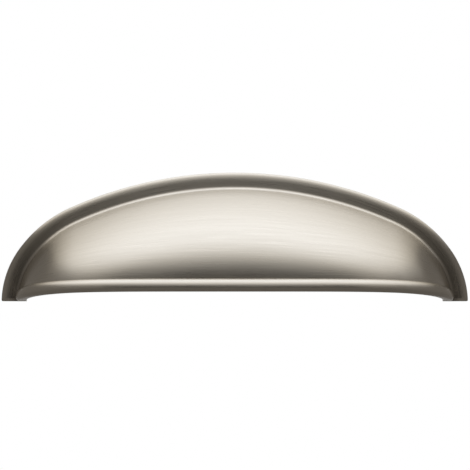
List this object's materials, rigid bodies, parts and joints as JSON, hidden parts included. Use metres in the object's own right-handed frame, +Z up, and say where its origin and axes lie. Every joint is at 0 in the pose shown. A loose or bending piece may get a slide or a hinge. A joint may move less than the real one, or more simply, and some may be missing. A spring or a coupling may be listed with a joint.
{
  "type": "cup pull",
  "caption": "Arched cup pull for a drawer front: a flanged half-dome open below for the fingers, with a beaded lip and cast screw posts behind.",
  "frame": {"origin": "On the mounting plane, midway between the two screw holes.", "axes": "+X runs along the pull, to the right seen from the front; +Y points into the drawer front, square to the back of the flange; +Z is up, from the open side to the top of the arch."},
  "size_m": [0.127, 0.025, 0.035],
  "materials": {
    "satin_nickel_plate": "Nickel plate over die-cast zinc, brushed lengthwise to a satin sheen and clear lacquered; inside and back as cast and plated, unbrushed."
  },
  "bodies": {
    "root": {"cup_pull_body": "satin_nickel_plate"}
  },
  "joints": []
}
